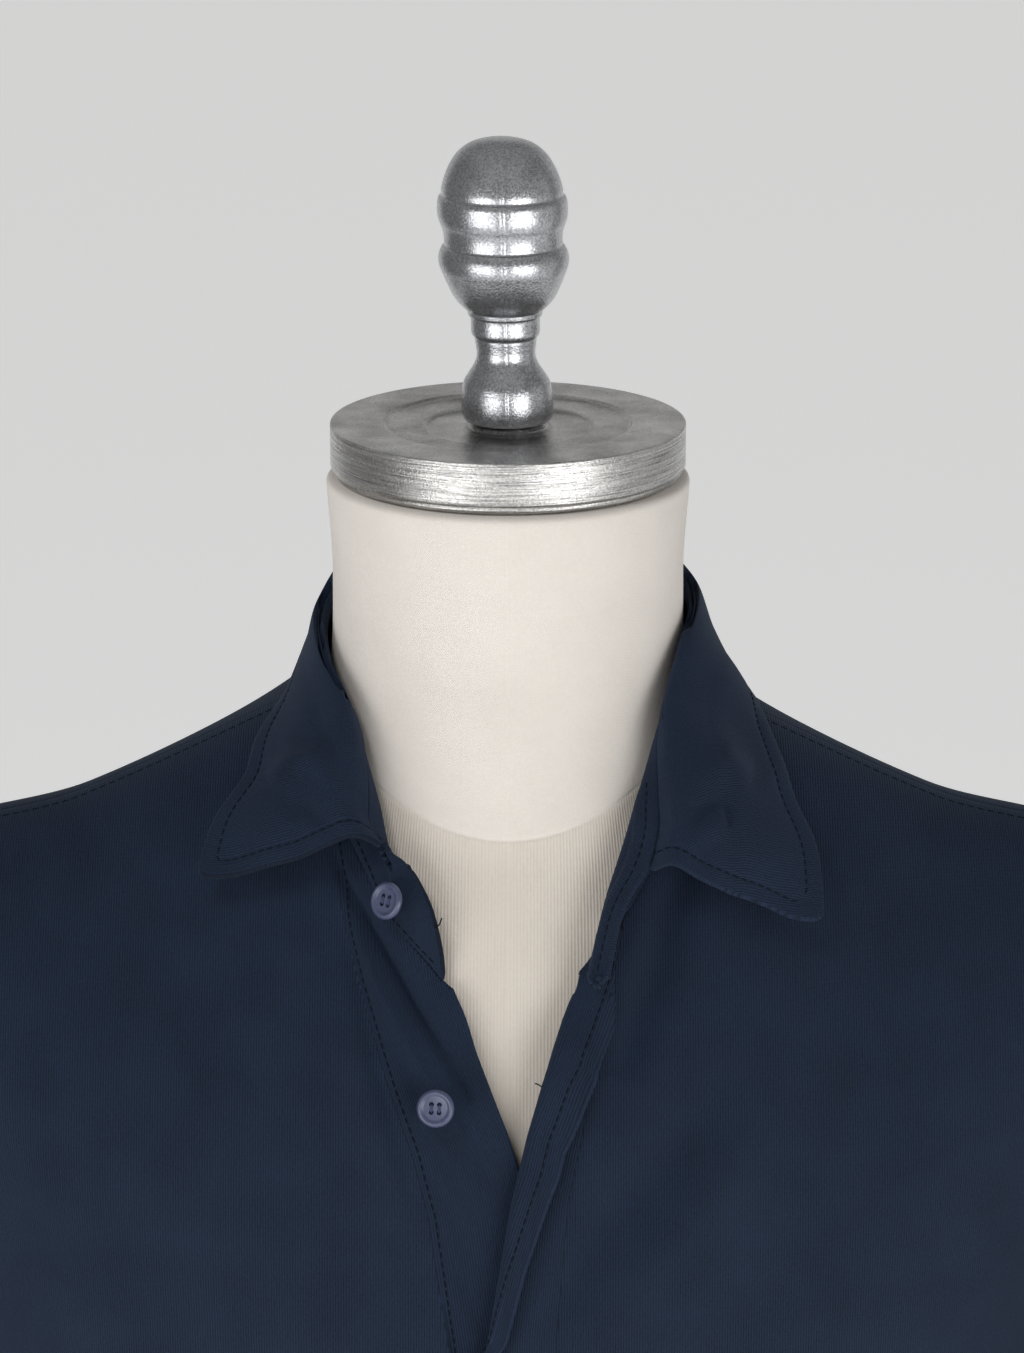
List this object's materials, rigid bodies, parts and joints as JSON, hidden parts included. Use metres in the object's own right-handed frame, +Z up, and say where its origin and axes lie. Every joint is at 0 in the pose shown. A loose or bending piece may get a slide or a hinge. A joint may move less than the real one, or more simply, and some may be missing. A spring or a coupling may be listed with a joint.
{
  "type": "polo shirt on dress form",
  "caption": "Long-sleeved knitted polo shirt, its placket open and rolled back, worn by a limbless tailor's form with a metal neck cap and finial on a low round stand.",
  "frame": {"origin": "on the floor under the middle of the round base, straight below the axis of the form's neck", "axes": "+Z up along the neck; +X to the right of the picture, which is the wearer's left; -Y out of the front of the shirt"},
  "size_m": [0.54, 0.33, 1.0397],
  "materials": {
    "navy_jersey": "matte fine-gauge knit with narrow vertical wales, dark navy",
    "button_resin": "slate blue, satin, with a raised rim and four holes",
    "form_cotton": "cream cotton stretched over a firm shell, smooth on the neck and ribbed on the chest",
    "cast_aluminium": "polished casting, brushed round the cap's side, with a mould line on the finial",
    "black_iron": "satin black paint on cast iron"
  },
  "bodies": {
    "root": {"front": "navy_jersey", "back": "navy_jersey", "sleeve_left": "navy_jersey", "sleeve_right": "navy_jersey", "under_band": "navy_jersey", "upper_band": "navy_jersey", "collar_stand": "navy_jersey", "collar_leaf": "navy_jersey", "button_stand": "button_resin", "button_upper": "button_resin", "button_lower": "button_resin", "form_torso": "form_cotton", "neck_cap": "cast_aluminium", "finial": "cast_aluminium", "post": "black_iron", "base_plate": "black_iron"}
  },
  "joints": []
}
